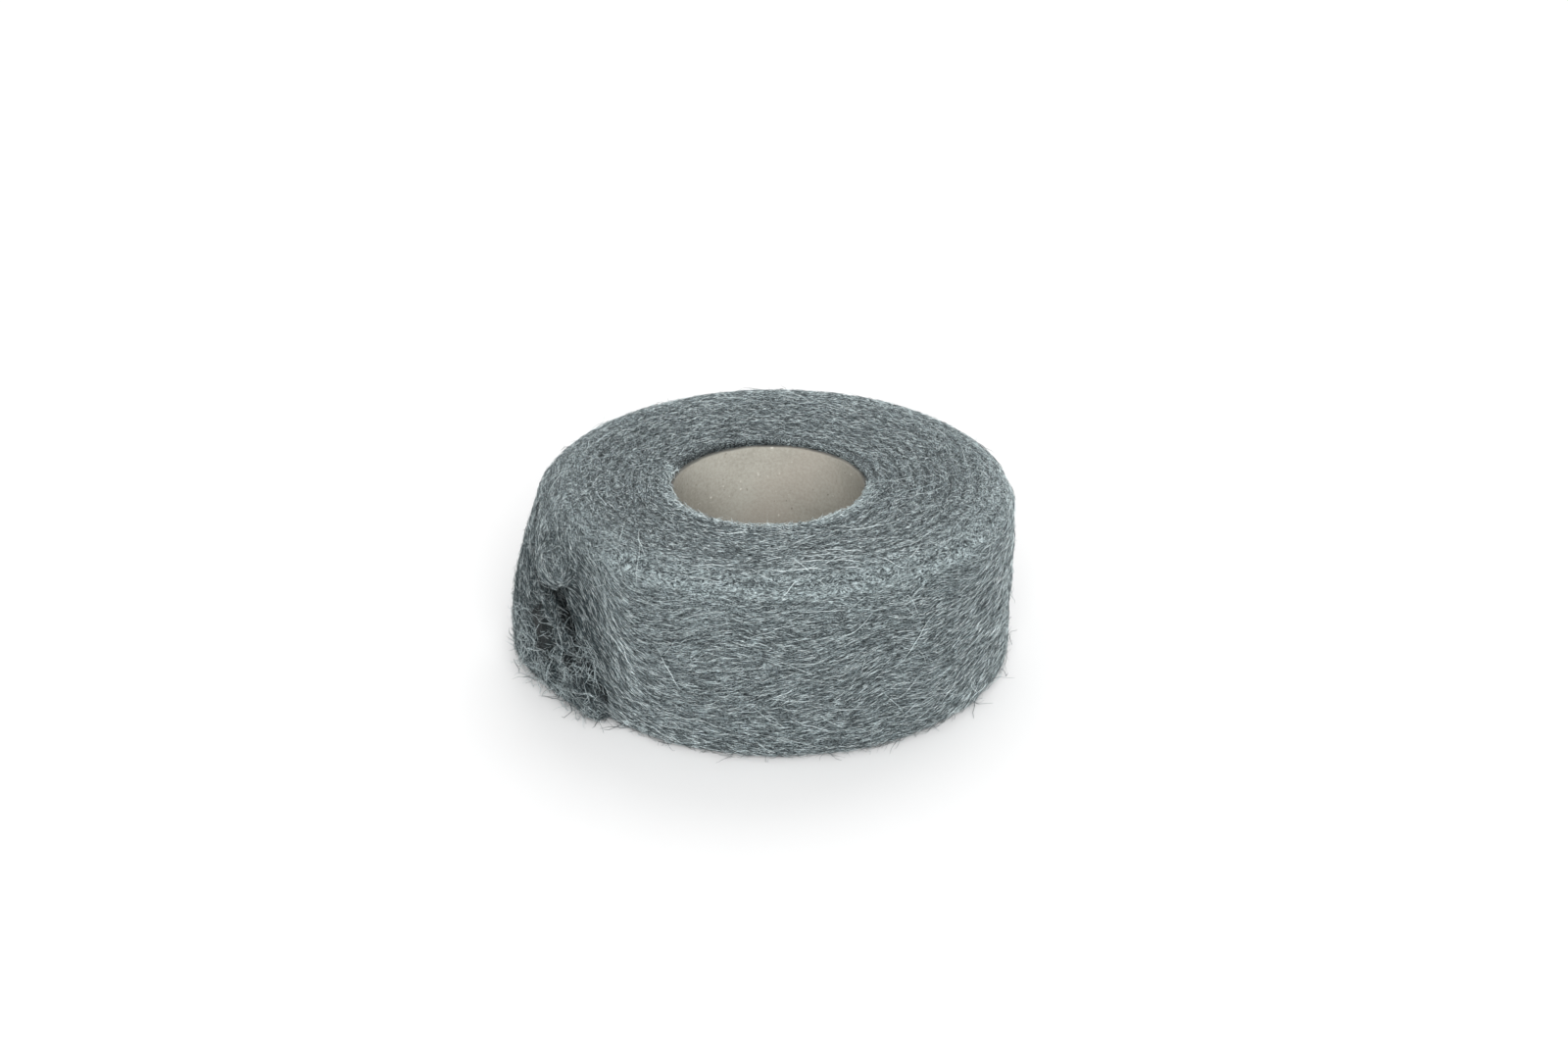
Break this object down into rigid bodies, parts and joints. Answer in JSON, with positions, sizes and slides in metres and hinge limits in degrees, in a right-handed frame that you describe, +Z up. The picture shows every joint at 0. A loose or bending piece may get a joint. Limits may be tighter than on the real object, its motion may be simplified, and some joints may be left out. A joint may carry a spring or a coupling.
{
  "type": "steel wool roll",
  "caption": "Roll of steel wool band wound round an open cardboard core, with a torn loose end, standing on its end.",
  "frame": {"origin": "middle of the base's bounding box, on the surface that the roll stands on", "axes": "+Z up along the core's axis, +Y away from the viewer, +X to the viewer's right"},
  "size_m": [0.266, 0.2474, 0.0998],
  "materials": {
    "cardboard": "matt beige-grey tube board with flecks of recycled fibre",
    "steel_wool": "fine grey steel fibres, satin, dark between them"
  },
  "bodies": {
    "root": {"cardboard_core": "cardboard", "steel_wool_roll": "steel_wool"}
  },
  "joints": []
}
